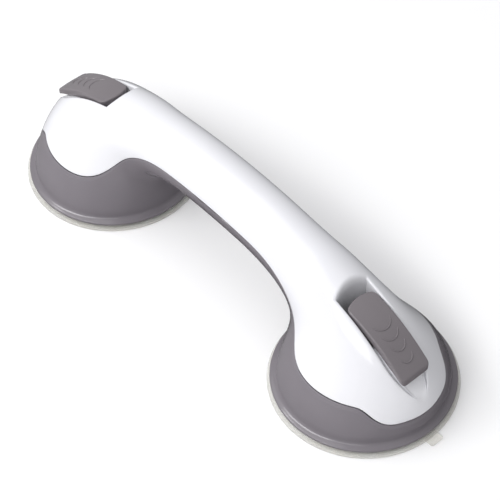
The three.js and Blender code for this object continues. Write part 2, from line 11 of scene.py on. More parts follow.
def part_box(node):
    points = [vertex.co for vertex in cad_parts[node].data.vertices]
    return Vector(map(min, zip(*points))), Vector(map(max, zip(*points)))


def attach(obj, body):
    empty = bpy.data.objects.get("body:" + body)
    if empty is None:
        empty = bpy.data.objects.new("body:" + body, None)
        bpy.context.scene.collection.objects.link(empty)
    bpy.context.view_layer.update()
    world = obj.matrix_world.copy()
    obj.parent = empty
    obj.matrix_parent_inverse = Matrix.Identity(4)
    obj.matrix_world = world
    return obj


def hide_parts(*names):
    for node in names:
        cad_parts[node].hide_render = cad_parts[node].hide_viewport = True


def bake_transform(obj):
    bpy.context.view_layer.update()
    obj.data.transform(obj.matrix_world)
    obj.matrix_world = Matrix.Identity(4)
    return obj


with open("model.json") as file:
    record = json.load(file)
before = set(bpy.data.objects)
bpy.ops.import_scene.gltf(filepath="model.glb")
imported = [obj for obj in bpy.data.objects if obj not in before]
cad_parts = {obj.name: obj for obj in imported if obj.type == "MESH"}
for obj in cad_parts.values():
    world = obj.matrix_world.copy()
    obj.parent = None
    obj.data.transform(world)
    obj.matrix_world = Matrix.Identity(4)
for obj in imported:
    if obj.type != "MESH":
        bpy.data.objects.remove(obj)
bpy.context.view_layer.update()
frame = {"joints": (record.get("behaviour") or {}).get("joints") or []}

# Lengths below are millimetres in the row frame, +Z up from the wall face of the pads.
MM = 0.001


def node_box(node):
    low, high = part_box(node)
    return np.array(low) / MM, np.array(high) / MM


def joint_named(name):
    return next(j for j in frame["joints"] if j["name"] == name)


# ---- sizes taken from the frame ----
CUP_X, _, PIN_Z = (c / MM for c in joint_named("near_lever_hinge")["pos_m"])
STEM_DROP = -joint_named("near_stem_slide")["range_m"][0] / MM
LOWER_LO, LOWER_HI = node_box("lower_shell")
_, UPPER_HI = node_box("upper_shell")
PAD_LO, PAD_HI = node_box("near_suction_pad")
LEVER_LO, LEVER_HI = node_box("near_lever")
PLUNGER_LO, PLUNGER_HI = node_box("near_plunger")
SPRING_LO, SPRING_HI = node_box("near_return_spring")
PLATE_LO, PLATE_HI = node_box("near_cam_plate")
PIN_LO, PIN_HI = node_box("near_pivot_pin")
GRIP_SCREW_LO, GRIP_SCREW_HI = node_box("near_grip_screw")
RIM_Z = LOWER_LO[2]
RIM_R = LOWER_HI[0] - CUP_X
PAD_R = CUP_X - PAD_LO[0]
DOWN = np.array([0, 0, -1.0])

# ---- the moulded skin ----
# The outside of the handle is the zero level of skin_level: a grip that arches from cup to cup,
# blended into a dome on each cup axis. Its heights are measured from the bell's rim.
GRIP_HALF_HEIGHT = 17.0
GRIP_HALF_WIDTH = 16.8
GRIP_Z = UPPER_HI[2] - RIM_Z - GRIP_HALF_HEIGHT
GRIP_DROP = 13.0               # how far its centre line falls at 100 mm from mid length
GRIP_RUN = 66.0                # beyond here the grip fades out, over GRIP_FADE
GRIP_FADE = 38.3
BELL_R = 44.9
DOME_H = 41.4
BLEND = 34.0                   # width of the blend between grip and dome
WALL = 2.4
SKIN_START = 7.0               # the grey shell follows the skin from here up
SEAM_SIDE = 22.4               # seam height beside the cup axis, and at the outer tip
SEAM_LOBE = 13.8
SEAM_GAP = 0.26
FAN_Z = 6.0                    # height of the axis that the outer sections fan about


def mix(a, b, t):
    return a + (b - a) * t


def smooth(start, end, t):
    s = np.clip((t - start) / (end - start), 0, 1)
    return s * s * (3 - 2 * s)


def grip_centre(u):
    return GRIP_Z - GRIP_DROP * (u / 100) ** 2


def core_height(u):
    """Height of the point inside the bar from which the section at u is shaped."""
    return mix(grip_centre(u), FAN_Z, smooth(45, 100, u))


def full_turn(count):
    return np.linspace(0, 2 * np.pi, count, endpoint=False)


def skin_level(p):
    """Negative inside the handle, zero on its outer skin; p is (..., 3), heights above the rim."""
    u, y, z = np.abs(p[..., 0]), p[..., 1], p[..., 2]
    r = np.hypot(u - CUP_X, y)
    dome = (r / BELL_R) ** 1.5 + (np.maximum(z, 0) / DOME_H) ** 2
    dome_level = (dome ** 0.455 - 1) * 40
    fade = (np.maximum(0, u - GRIP_RUN) / GRIP_FADE) ** 1.9
    round_y = (np.abs(y) / GRIP_HALF_WIDTH) ** 1.9
    round_z = (np.abs(z - grip_centre(u)) / GRIP_HALF_HEIGHT) ** 1.9
    grip_level = ((round_y + round_z + fade) ** (1 / 1.9) - 1) * 16
    near = np.maximum(BLEND - np.abs(dome_level - grip_level), 0) / BLEND
    return np.minimum(dome_level, grip_level) - near * near * BLEND / 4


def skin_slope(p, h=0.05):
    return np.stack([(skin_level(p + d) - skin_level(p - d)) / (2 * h) for d in np.eye(3) * h], -1)


def skin_normal(p):
    slope = skin_slope(p)
    return slope / np.linalg.norm(slope, axis=-1, keepdims=True)


def settle(p, rounds=14):
    """Moves points onto the skin along its slope."""
    for _ in range(rounds):
        slope = skin_slope(p)
        step = skin_level(p) / (slope ** 2).sum(-1)
        p = p - slope * np.clip(step, -4, 4)[..., None]
    return p


def first_crossing(origin, direction, inside_at_start, reach=120.0, step=1.2):
    """Where rays first cross the skin, from inside outwards or from outside inwards."""
    sign = 1 if inside_at_start else -1
    shape = np.broadcast_shapes(origin.shape, direction.shape)
    origin = np.broadcast_to(origin, shape)
    direction = np.broadcast_to(direction, shape)
    far = np.full(shape[:-1], 2.0)
    found = np.zeros(shape[:-1], bool)
    for _ in range(int(reach / step)):
        level = skin_level(origin + direction * far[..., None]) * sign
        found |= level > 0
        far = np.where(found, far, far + step)
    low, high = far - step, far
    for _ in range(26):
        middle = (low + high) / 2
        out = skin_level(origin + direction * middle[..., None]) * sign > 0
        high = np.where(out, middle, high)
        low = np.where(out, low, middle)
    return origin + direction * high[..., None]


def seam_height(u):
    """Height of the seam between the white and the grey shell."""
    bell = mix(SEAM_SIDE, SEAM_LOBE, smooth(123, 140, u))
    width = mix(7.5, 5.2, smooth(50, 80, u))
    rise = 1 / (1 + np.exp((u - 69) / width))
    return bell + (grip_centre(u) + 1.5 - bell) * rise


# ---- mesh helpers ----
def linked(name, data):
    obj = bpy.data.objects.new(name, data)
    bpy.context.scene.collection.objects.link(obj)
    return obj


def make_object(name, points, faces, smooth_angle=38.0, merge=0.0):
    """A mesh object from points in millimetres, with its faces turned outwards."""
    mesh = bpy.data.meshes.new(name)
    mesh.from_pydata((np.asarray(points, float) * MM).tolist(), [], [tuple(f) for f in faces])
    bm = bmesh.new()
    bm.from_mesh(mesh)
    if merge:
        bmesh.ops.remove_doubles(bm, verts=bm.verts, dist=merge * MM)
        bmesh.ops.dissolve_degenerate(bm, edges=bm.edges, dist=merge * MM / 4)
    loose = [v for v in bm.verts if not v.link_faces]
    bmesh.ops.delete(bm, geom=loose, context="VERTS")
    bmesh.ops.recalc_face_normals(bm, faces=bm.faces)
    limit = math.radians(smooth_angle)
    for edge in bm.edges:
        edge.smooth = len(edge.link_faces) != 2 or edge.calc_face_angle(0) < limit
    for face in bm.faces:
        face.smooth = True
    bm.to_mesh(mesh)
    bm.free()
    return linked(name, mesh)


def ring_faces(count, size, closed=False):
    """Quads that join count rings of size points each; closed joins the last ring to the first."""
    faces = []
    for i in range(count if closed else count - 1):
        a, b = i * size, (i + 1) % count * size
        for j in range(size):
            k = (j + 1) % size
            faces.append((a + j, a + k, b + k, b + j))
    return faces


def capped_tube(rings):
    """Points and faces of a closed body from rings of points, with a flat face on each end."""
    rings = np.asarray(rings, float)
    count, size = rings.shape[:2]
    faces = ring_faces(count, size)
    faces.append(tuple(range(size)))
    faces.append(tuple(range((count - 1) * size, count * size)))
    return rings.reshape(-1, 3), faces


def closed_tube(rings):
    """The same, but the last ring joins the first and nothing needs a cap."""
    rings = np.asarray(rings, float)
    return rings.reshape(-1, 3), ring_faces(*rings.shape[:2], closed=True)


def lathe(profile, segments=96):
    """A closed ring of (r, z) points turned about Z. Points on the axis want a merge afterwards."""
    return closed_tube([[(r * math.cos(a), r * math.sin(a), z) for r, z in profile]
                        for a in full_turn(segments)])


def arc(centre, radius, start, end, steps):
    """Points on an arc, angles in degrees."""
    angles = np.radians(np.linspace(start, end, steps + 1))
    return [(centre[0] + radius * math.cos(a), centre[1] + radius * math.sin(a)) for a in angles]


def sweep(path, radius, sides=10):
    """A round tube along a path of points; radius may be one number or one per point."""
    path = np.asarray(path, float)
    radius = np.broadcast_to(radius, len(path))
    along = np.gradient(path, axis=0)
    along /= np.linalg.norm(along, axis=1, keepdims=True)
    across = np.cross(along, (0, 0, 1))
    across /= np.linalg.norm(across, axis=1, keepdims=True)
    over = np.cross(across, along)
    turn = full_turn(sides)
    ring = across[:, None] * np.cos(turn)[None, :, None] + over[:, None] * np.sin(turn)[None, :, None]
    return capped_tube(path[:, None] + ring * radius[:, None, None])


def joined(parts):
    """Several (points, faces) bodies as one."""
    points, faces, base = [], [], 0
    for part_points, part_faces in parts:
        points.append(np.asarray(part_points, float))
        faces.extend(tuple(base + i for i in face) for face in part_faces)
        base += len(part_points)
    return np.concatenate(points), faces


def moved(part, x, y=0.0):
    return np.asarray(part[0], float) + (x, y, 0), part[1]


def turned_half(part):
    """The same body turned half a turn about Z, for the other end of the bar."""
    return np.asarray(part[0], float) * (-1, -1, 1), part[1]


def cut(obj, tools):
    """Subtracts closed tool bodies, given as (points, faces), from an object."""
    for points, faces in tools:
        tool = make_object(f"{obj.name}_tool", points, faces)
        modifier = obj.modifiers.new("cut", "BOOLEAN")
        modifier.operation = "DIFFERENCE"
        modifier.solver = "EXACT"
        modifier.object = tool
        graph = bpy.context.evaluated_depsgraph_get()
        mesh = bpy.data.meshes.new_from_object(obj.evaluated_get(graph))
        obj.modifiers.clear()
        obj.data = mesh
        bpy.data.objects.remove(tool)


def block(x0, x1, y0, y1, z0, z1):
    corners = [(x, y, z) for z in (z0, z1) for x, y in ((x0, y0), (x1, y0), (x1, y1), (x0, y1))]
    faces = [(0, 3, 2, 1), (4, 5, 6, 7), (0, 1, 5, 4), (1, 2, 6, 5), (2, 3, 7, 6), (3, 0, 4, 7)]
    return np.array(corners, float), faces


# ---- materials ----
def new_material(name):
    material = bpy.data.materials.new(name)
    material.use_nodes = True
    return material, material.node_tree.nodes["Principled BSDF"]


def tree_of(shader):
    return shader.id_data.nodes, shader.id_data.links


def noise(shader, scale, detail=3.0, stretch=(1, 1, 1)):
    """Noise in object space, scale in features per metre."""
    nodes, links = tree_of(shader)
    coordinates = nodes.new("ShaderNodeTexCoord")
    mapping = nodes.new("ShaderNodeMapping")
    mapping.inputs["Scale"].default_value = stretch
    texture = nodes.new("ShaderNodeTexNoise")
    texture.inputs["Scale"].default_value = scale
    texture.inputs["Detail"].default_value = detail
    links.new(coordinates.outputs["Object"], mapping.inputs["Vector"])
    links.new(mapping.outputs["Vector"], texture.inputs["Vector"])
    return texture.outputs["Fac"]


def vary_colour(shader, factor, dark, light):
    nodes, links = tree_of(shader)
    ramp = nodes.new("ShaderNodeValToRGB")
    for stop, position, colour in zip(ramp.color_ramp.elements, (0.3, 0.7), (dark, light)):
        stop.position, stop.color = position, (*colour, 1)
    links.new(factor, ramp.inputs["Fac"])
    links.new(ramp.outputs["Color"], shader.inputs["Base Color"])


def vary_roughness(shader, factor, low, high):
    nodes, links = tree_of(shader)
    spread = nodes.new("ShaderNodeMapRange")
    for name, value in (("From Min", 0.3), ("From Max", 0.7), ("To Min", low), ("To Max", high)):
        spread.inputs[name].default_value = value
    links.new(factor, spread.inputs["Value"])
    links.new(spread.outputs["Result"], shader.inputs["Roughness"])


def add_bump(shader, height, strength, distance):
    nodes, links = tree_of(shader)
    bump = nodes.new("ShaderNodeBump")
    bump.inputs["Strength"].default_value = strength
    bump.inputs["Distance"].default_value = distance
    links.new(height, bump.inputs["Height"])
    links.new(bump.outputs["Normal"], shader.inputs["Normal"])


def gloss_plastic(name, dark, light, roughness, grain_scale, grain):
    """Injection-moulded plastic: faint colour drift, uneven gloss and the skin's slight grain."""
    material, shader = new_material(name)
    vary_colour(shader, noise(shader, 22), dark, light)
    vary_roughness(shader, noise(shader, 130, 5), *roughness)
    add_bump(shader, noise(shader, grain_scale, 4), grain, 0.00004)
    return material


def clear_plastic(name):
    """Soft clear vinyl, faintly yellow."""
    material, shader = new_material(name)
    vary_colour(shader, noise(shader, 40), (0.90, 0.88, 0.80), (0.97, 0.965, 0.92))
    vary_roughness(shader, noise(shader, 160), 0.12, 0.24)
    add_bump(shader, noise(shader, 300), 0.08, 0.0002)
    shader.inputs["Transmission Weight"].default_value = 0.5
    shader.inputs["Alpha"].default_value = 0.42
    shader.inputs["IOR"].default_value = 1.42
    return material


def brushed_metal(name, dark, light, stretch):
    """Plated or drawn steel with fine marks along one direction."""
    material, shader = new_material(name)
    marks = noise(shader, 900, 3, stretch)
    vary_colour(shader, noise(shader, 120), dark, light)
    vary_roughness(shader, marks, 0.22, 0.4)
    add_bump(shader, marks, 0.15, 0.00005)
    shader.inputs["Metallic"].default_value = 1.0
    return material


MATERIALS = {
    "shell_white": gloss_plastic(
        "shell_white", (0.745, 0.745, 0.775), (0.775, 0.775, 0.80), (0.08, 0.13), 900, 0.03),
    "shell_grey": gloss_plastic(
        "shell_grey", (0.168, 0.154, 0.17), (0.19, 0.175, 0.192), (0.1, 0.17), 700, 0.05),
    "lever_grey": gloss_plastic(
        "lever_grey", (0.168, 0.152, 0.162), (0.188, 0.171, 0.181), (0.17, 0.23), 2600, 0.1),
    "pad_clear": clear_plastic("pad_clear"),
    "nylon": gloss_plastic("nylon", (0.54, 0.54, 0.5), (0.62, 0.62, 0.58), (0.42, 0.55), 800, 0.15),
    "zinc_steel": brushed_metal("zinc_steel", (0.5, 0.51, 0.53), (0.62, 0.63, 0.65), (1, 8, 1)),
    "spring_steel": brushed_metal("spring_steel", (0.42, 0.43, 0.44), (0.55, 0.56, 0.57), (1, 1, 6)),
}


def dress(obj, node, slot, body):
    """Gives a piece its finish and its body; it takes the place of the node."""
    obj.data.materials.clear()
    obj.data.materials.append(MATERIALS[slot])
    if body:
        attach(obj, body)
    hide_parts(node)


def finish_piece(name, part, slot, body, **options):
    obj = make_object(name, *part, **options)
    dress(obj, name, slot, body)
    return obj


# ---- white shell ----
POCKET_HALF = 10.0             # lever pocket half width
POCKET_IN = 88.9               # corners of its inner end, which bows inwards by POCKET_BOW
POCKET_BOW = 2.2
POCKET_FADE = 143.5            # the channel has run out here
POCKET_NARROW = 124.0          # from here outwards it narrows like the end of an ellipse
EDGE_ROUND = 1.9               # rounding of the pocket's upper edge
FOOT_ROUND = 1.6               # and of its foot
STRIP = 13.4                   # columns of the mesh run straight along X inside this half width
WALL_LEAN = 0.1                # draft of the pocket's side walls
SCOOP_RUN = 3.6                # length of the rounded foot at its inner end
WELL_FLOOR = PLATE_LO[2] - 0.3 - RIM_Z
WELL_OUT = PLATE_HI[0] + 3.7   # outer end of the deep part under the lever
SLOT_HALF_X = 4.9              # slot for the stem, in the pocket floor and the cam plate
SLOT_HALF_Y = 3.6
LIP = 0.35                     # rounding of the white edge at the seam


def pocket_columns(grow):
    """Half widths of the mesh columns that shape the pocket's edge, with what each stands for.

    Returns (y, kind, share) from the middle outwards; kind is floor, foot, wall or edge.
    """
    half = POCKET_HALF + grow
    columns = [(y, "floor", 0.0) for y in (0, 1.5, 3.0, 4.4, 5.7, 6.8, 7.6)]
    columns += [(half - WALL_LEAN - FOOT_ROUND * math.cos(t), "foot", 1 - math.sin(t))
                for t in np.linspace(0, math.pi / 2, 5, endpoint=False)]
    columns += [(half - WALL_LEAN * (1 - s), "wall", s) for s in np.linspace(0, 1, 7)]
    columns += [(half + EDGE_ROUND * (1 - math.cos(t)), "edge", 1 - math.sin(t))
                for t in np.linspace(0, math.pi / 2, 8)[1:]]
    columns += [(STRIP + grow, "edge", 0.0)]
    return columns


def wall_height(x):
    """How deep the pocket's side walls are below the skin beside them."""
    return 3.9 - 1.0 * smooth(110, 136, x) - 2.9 * smooth(POCKET_FADE - 6.5, POCKET_FADE, x)


def pocket_narrowing(x):
    """Share of its full half width that the pocket keeps towards its outer end."""
    run = np.clip((x - POCKET_NARROW) / (POCKET_FADE - 2 - POCKET_NARROW), 0, 0.93)
    return np.sqrt(1 - run ** 2)


def pocket_depth(x, skin_z, side_z, grow):
    """Depth of the pocket floor under the skin, where the skin's height is skin_z and side_z at
    the pocket's edge."""
    well = skin_z - (WELL_FLOOR - grow)
    keep = 1 - smooth(POCKET_FADE - 6.5, POCKET_FADE - 1.5, x)
    channel = wall_height(x) + keep * (skin_z - side_z) + grow * (x < POCKET_FADE)
    return mix(well, channel, smooth(WELL_OUT + grow, WELL_OUT + 1.6 + grow, x))


def end_share(s):
    """Depth reached at distance s into the pocket from its inner end, and the share of the full
    depth that the scoop has reached."""
    edge = EDGE_ROUND - np.sqrt(EDGE_ROUND ** 2 - np.clip(s + EDGE_ROUND, 0, EDGE_ROUND) ** 2)
    scoop = np.sin(np.arccos(1 - np.clip(s / SCOOP_RUN, 0, 1)))
    return edge, np.where(s > 0, scoop, 0.0)


def pocket_drop(x, s, column, skin_z, side_z, grow):
    """How far one mesh column sinks below the skin, at x and at s past the pocket's inner end."""
    _, kind, share = column
    depth = np.maximum(pocket_depth(x, skin_z, side_z, grow), 0)
    top = np.minimum(EDGE_ROUND, depth / 2)
    foot = np.minimum(FOOT_ROUND, depth / 2)
    side = {"floor": depth, "foot": depth - foot * share, "wall": mix(depth - foot, top, share),
            "edge": top * share}[kind]
    # towards its outer end the channel turns into a soft trough
    trough = depth * np.cos(math.pi / 2 * np.minimum(1, column[0] / (POCKET_HALF + EDGE_ROUND))) ** 2
    side = mix(side, trough, smooth(POCKET_FADE - 7, POCKET_FADE - 2, x))
    edge, scoop = end_share(s)
    end = np.where(s > 0, mix(EDGE_ROUND, np.maximum(depth, EDGE_ROUND), scoop), edge)
    return np.minimum(side, end)


def station_list():
    """Upright sections along X, then fan sections over the cup's outer half, by the x at y = 0."""
    end = POCKET_IN
    upright = list(np.linspace(0, 72, 37)[:-1]) + list(np.linspace(72, end - EDGE_ROUND - 0.6, 9))
    upright += [end - EDGE_ROUND * math.cos(t) for t in np.linspace(0, math.pi / 2, 7)]
    upright += [end + SCOOP_RUN * (1 - math.cos(t)) for t in np.linspace(0, math.pi / 2, 10)[1:]]
    upright += [94.4, 96.2, 98.2]
    well = WELL_OUT + np.array([0, 0.3, 0.6, 0.9, 1.2, 1.6])
    fan = [CUP_X, 102, 104, 106, 108, 109.6, 111, *well, 115.5, 117, *np.linspace(118.5, 139, 16)]
    return upright, fan


def section_frames():
    """Origin and upward direction of every section, from mid length to the outer tip."""
    upright, fan = station_list()
    sky = np.array([(x, 0.0, 100.0) for x in fan])
    top = first_crossing(sky, DOWN, False)
    angles = np.arctan2(top[:, 2] - FAN_Z, top[:, 0] - CUP_X)
    foot = np.array([CUP_X, 0, SEAM_LOBE + SEAM_GAP + LIP])
    tip = first_crossing(foot, np.array([1.0, 0, 0]), True)
    last = math.atan2(tip[2] - FAN_Z, tip[0] - CUP_X)
    steps = 1 - (1 - np.linspace(0, 1, 17)[1:]) ** 1.6
    angles = np.concatenate([angles, mix(angles[-1], last + 0.001, steps)])
    origins = [(u, 0, core_height(u)) for u in upright] + [(CUP_X, 0, FAN_Z)] * len(angles)
    ups = [(0, 0, 1)] * len(upright) + [(math.cos(a), 0, math.sin(a)) for a in angles]
    return np.array(origins, float), np.array(ups, float), np.array(upright)


def seam_turns(origins, ups, gap):
    """Angle from upright at which each section's skin meets the seam, gap above it."""
    low = np.zeros(len(origins))
    high = np.full(len(origins), math.pi * 0.75)
    for _ in range(28):
        middle = (low + high) / 2
        p = first_crossing(origins, turn_from(ups, middle), True)
        above = p[:, 2] > seam_height(np.abs(p[:, 0])) + gap
        low = np.where(above, middle, low)
        high = np.where(above, high, middle)
    return low


def turn_from(ups, angles):
    direction = ups * np.cos(angles)[..., None]
    direction[..., 1] = np.sin(angles)
    return direction


BEYOND = 20                    # columns between the strip and the seam


def shell_half_sections(depth):
    """Half sections, y from 0 to the seam, of the surface that lies depth under the outer skin.

    Returns an array (sections, columns, 3) with heights above the rim.
    """
    origins, ups, upright = section_frames()
    limit = seam_turns(origins, ups, SEAM_GAP + LIP)
    edge = first_crossing(origins, turn_from(ups, limit), True)
    columns = pocket_columns(0.0)
    wide = pocket_columns(depth)
    shrink = np.minimum(1, 0.8 * edge[:, 1] / columns[-1][0])
    sky = origins + ups * 95
    shrink = np.minimum(shrink, pocket_narrowing(first_crossing(sky, -ups, False)[:, 0]))
    rows = []
    for column in columns:
        start = origins + ups * 95
        start[:, 1] = column[0] * shrink
        rows.append(first_crossing(start, -ups, False))
    strip_end = rows[-1] - origins
    first = np.arctan2(strip_end[:, 1], (strip_end * ups).sum(1))
    for k in range(1, BEYOND + 1):
        rows.append(first_crossing(origins, turn_from(ups, mix(first, limit, k / BEYOND)), True))
    grid = np.stack(rows, 1)
    if depth:
        grid = grid - skin_normal(grid) * depth
    side_columns = [k for k, c in enumerate(columns) if c[1] == "edge"]
    side_z = grid[:, side_columns[0], 2]
    # the pocket's inner end bows towards mid length
    s = grid[:, 0, 0].copy()
    s[:len(upright)] = upright
    near_end = smooth(POCKET_IN - 16, POCKET_IN - 6, s) * (1 - smooth(POCKET_IN + 5, CUP_X, s))
    for k, column in enumerate(columns):
        x = grid[:, k, 0]
        drop = pocket_drop(x, s - POCKET_IN + depth, wide[k], grid[:, k, 2], side_z, depth)
        inside = np.minimum(1, np.abs(column[0]) / POCKET_HALF)
        bow = POCKET_BOW * (1 - inside ** 2) * near_end
        if k < len(columns) - 1:
            grid[:, k, 0] = x - bow
            onto = grid[:, k].copy()
            onto[:, 2] = 100
            lower = first_crossing(onto, DOWN, False)[:, 2] - depth * 1.02
            grid[:, k, 2] = np.where(near_end > 0, lower, grid[:, k, 2])
        grid[:, k, 2] -= drop
        grid[:, k, 1] += (wide[k][0] - column[0]) * (drop > 0.01)
    return grid


def mirrored(half):
    """Both sides of every section: y from the far seam over the middle to the near seam."""
    other = half[:, :0:-1] * (1, -1, 1)
    return np.concatenate([other, half], 1)


def both_ends(sections):
    """The bar's whole length: the sections of the +X half and their mirror images."""
    other = sections[:0:-1] * (-1, 1, 1)
    return np.concatenate([other, sections], 0)


def upper_shell_rings():
    """Closed sections of the white shell's wall: outside, lip, inside and the other lip."""
    outer = mirrored(shell_half_sections(0.0))
    inner = mirrored(shell_half_sections(WALL))
    lips = []
    for column in (-1, 0):
        p = outer[:, column]
        n = skin_normal(p)
        down = DOWN + n * n[:, 2:3]
        down /= np.maximum(np.linalg.norm(down, axis=1, keepdims=True), 0.2)
        rounded = [p + down * LIP * math.sin(t) - n * LIP * (1 - math.cos(t))
                   for t in np.radians((30, 60, 90))]
        deep = rounded[-1] - n * (WALL - LIP * 2)
        lips.append(rounded + [deep])
    right = np.stack(lips[0], 1)
    left = np.stack(lips[1][::-1], 1)
    rings = np.concatenate([outer, right, inner[:, ::-1], left], 1)
    return both_ends(rings)


SCREW_RING = 27.0              # housing screws, from the cup axis
SCREW_ANGLES = (50, 130, 230, 310)
SCREW_HEAD = 2.0               # height of a screw's head
GRIP_SCREW_X = (GRIP_SCREW_LO[0] + GRIP_SCREW_HI[0]) / 2
BOSS_R = 3.5
BORE_R = 1.8
DECK_LO = 16.0                 # the web across the bell that the screws pass through
DECK_HI = 18.5
DECK_HOLE_R = 5.0
DECK_END = 133.5               # it stops short of the seam's low outer end


def screw_places():
    for degrees in SCREW_ANGLES:
        angle = math.radians(degrees)
        yield CUP_X + SCREW_RING * math.cos(angle), SCREW_RING * math.sin(angle)


def ring_body(inner, outer, bottom, top, segments=48):
    """An upright sleeve with slightly broken edges."""
    c = 0.15
    profile = [(inner, bottom + c), (inner + c, bottom), (outer - c, bottom), (outer, bottom + c),
               (outer, top - c), (outer - c, top), (inner + c, top), (inner, top - c)]
    return lathe(profile, segments)


def boss(x, y, foot):
    """A screw boss that ends inside the white shell's wall all the way round."""
    angles = full_turn(16)
    spots = np.stack([x + BOSS_R * np.cos(angles), y + BOSS_R * np.sin(angles), 0 * angles + 95], -1)
    roof = first_crossing(spots, DOWN, False)[:, 2].min() + RIM_Z
    return moved(ring_body(BORE_R, BOSS_R, foot, roof - WALL / 2), x, y)


def bosses():
    """Screw bosses under the white shell at one end."""
    parts = [boss(x, y, DECK_HI + 0.3) for x, y in screw_places()]
    parts.append(boss(GRIP_SCREW_X, 0, GRIP_SEAT_TOP + 0.3))
    return parts


def slot_tool():
    """The slot in the pocket floor that the stem passes through."""
    return block(CUP_X - SLOT_HALF_X, CUP_X + SLOT_HALF_X, -SLOT_HALF_Y, SLOT_HALF_Y,
                 WELL_FLOOR, WELL_FLOOR + 2 * RIM_Z + 2)


def make_upper_shell():
    rings = upper_shell_rings()
    rings[..., 2] += RIM_Z
    obj = make_object("upper_shell", *capped_tube(rings), merge=0.004)
    cut(obj, [slot_tool(), turned_half(slot_tool())])
    inside = bosses()
    inside += [turned_half(part) for part in bosses()]
    add_bodies(obj, inside)
    dress(obj, "upper_shell", "shell_white", "handle")


def add_bodies(obj, parts):
    """Adds further closed bodies to an object's mesh."""
    extra = make_object(f"{obj.name}_extra", *joined(parts))
    bm = bmesh.new()
    bm.from_mesh(obj.data)
    bm.from_mesh(extra.data)
    bm.to_mesh(obj.data)
    bm.free()
    bpy.data.objects.remove(extra)


# ---- grey shell ----
# Columns climb from the rim to the seam around each cup, and on its inner side up the neck and
# along the underside of the grip to mid length.
AROUND = 66                    # columns around the cup, up the neck, and under the grip
NECK = 56
UNDER = 14
ROWS = 34
SIDE_TURN = math.radians(115)  # rim angle where the neck's columns start, and where they end
NECK_TURN = math.radians(166)
EDGE_SUNK = 0.3                # the grey edge lies a little lower than the white one beside it
GREY_LIP = 0.3                 # rounding of the grey edge
GRIP_SEAT = GRIP_SCREW_HI[2] - 14.0 + 0.3
GRIP_SEAT_TOP = GRIP_SEAT + 3.2
COUNTERBORE_R = 3.6
# (outwards from the rim radius, height above the rim) of the rim's outside and inside
RIM_OUTSIDE = [(-0.5, 0.0), (-0.12, 0.12), (0.0, 0.42), (0.0, 1.0), (-0.13, 1.3), (-0.45, 1.5),
               (-1.5, 1.92), (-2.5, 2.42), (-3.05, 2.95), (-3.36, 3.6), (-3.48, 4.6)]
RIM_INSIDE = [(-5.9, 4.6), (-5.8, 3.0), (-5.4, 2.2), (-3.1, 1.0), (-2.6, 0.5), (-2.4, 0.12), (-2.1, 0.0)]


def on_axis(z):
    return np.stack([np.full(len(z), CUP_X), 0 * z, z], -1)


def seam_around(angles):
    """Points of the seam at angles about the cup axis."""
    direction = np.stack([np.cos(angles), np.sin(angles), 0 * angles], -1)
    low, high = np.full(len(angles), 4.0), np.full(len(angles), 50.0)
    for _ in range(26):
        middle = (low + high) / 2
        p = first_crossing(on_axis(middle), direction, True)
        under = middle < seam_height(p[:, 0]) - SEAM_GAP
        low = np.where(under, middle, low)
        high = np.where(under, high, middle)
    return first_crossing(on_axis(low), direction, True)


def seam_along(us):
    """Points of the seam along the neck and the grip."""
    origins = np.stack([us, 0 * us, core_height(us)], -1)
    ups = np.broadcast_to(np.array([0.0, 0, 1]), origins.shape)
    return first_crossing(origins, turn_from(ups, seam_turns(origins, ups, -SEAM_GAP)), True)


def column_ends():
    """Rim angle, upper end, the direction in which each column arrives there, and its reach."""
    around = np.linspace(0, SIDE_TURN, AROUND + 1)
    t = np.linspace(0, 1, NECK + 1)[1:]
    neck_u = np.interp(t, [0, 0.64, 1], [83, 48, 0])
    under = np.linspace(0, 1, UNDER + 1)[1:]
    side = seam_along(np.array([0.0]))[0]
    first = math.atan2(side[1], side[2] - GRIP_Z)
    turn = mix(first, math.pi, under)
    centre = np.broadcast_to(np.array([0, 0, GRIP_Z]), (UNDER, 3))
    below = first_crossing(centre, np.stack([0 * turn, np.sin(turn), np.cos(turn)], -1), True)
    tops = np.concatenate([seam_around(around), seam_along(neck_u), below])
    angles = np.concatenate([around, mix(SIDE_TURN, NECK_TURN, t), mix(NECK_TURN, math.pi, under)])
    lean = np.concatenate([0 * around, t * math.pi / 2, np.full(UNDER, math.pi / 2)])
    arrive = np.stack([np.sin(lean), 0 * lean, -np.cos(lean)], -1)
    reach = np.concatenate([0 * around + 0.4, 0.4 + 0.1 * smooth(0, 0.2, t), 0.5 + 0.05 * under])
    return angles, tops, arrive, reach


def half_columns():
    """Columns of the grey shell's outer surface on the +Y side, rim to seam."""
    angles, tops, arrive, reach = column_ends()
    outward = np.stack([np.cos(angles), np.sin(angles), 0 * angles], -1)
    start = first_crossing(np.array([CUP_X, 0, SKIN_START]), outward, True)
    length = np.linalg.norm(tops - start, axis=1)[:, None]
    control_a = start + np.array([0, 0, 0.45]) * length
    control_b = tops + arrive * reach[:, None] * length
    t = np.linspace(0, 1, ROWS + 1)
    t = (t + 0.15 * np.sin(np.pi * t) ** 2 * t)[None, :, None]
    t = t / t.max()
    curve = ((1 - t) ** 3 * start[:, None] + 3 * (1 - t) ** 2 * t * control_a[:, None]
             + 3 * (1 - t) * t ** 2 * control_b[:, None] + t ** 3 * tops[:, None])
    curve[:, 1:-1] = settle(curve[:, 1:-1])
    curve[[0, -1], :, 1] = 0
    curve[AROUND + NECK:, -1, 0] = 0
    return outward, curve


def rim_rows(outward, profile):
    axis = np.array([CUP_X, 0, 0])
    return np.stack([axis + outward * (RIM_R + r) + np.array([0, 0, z]) for r, z in profile], 1)


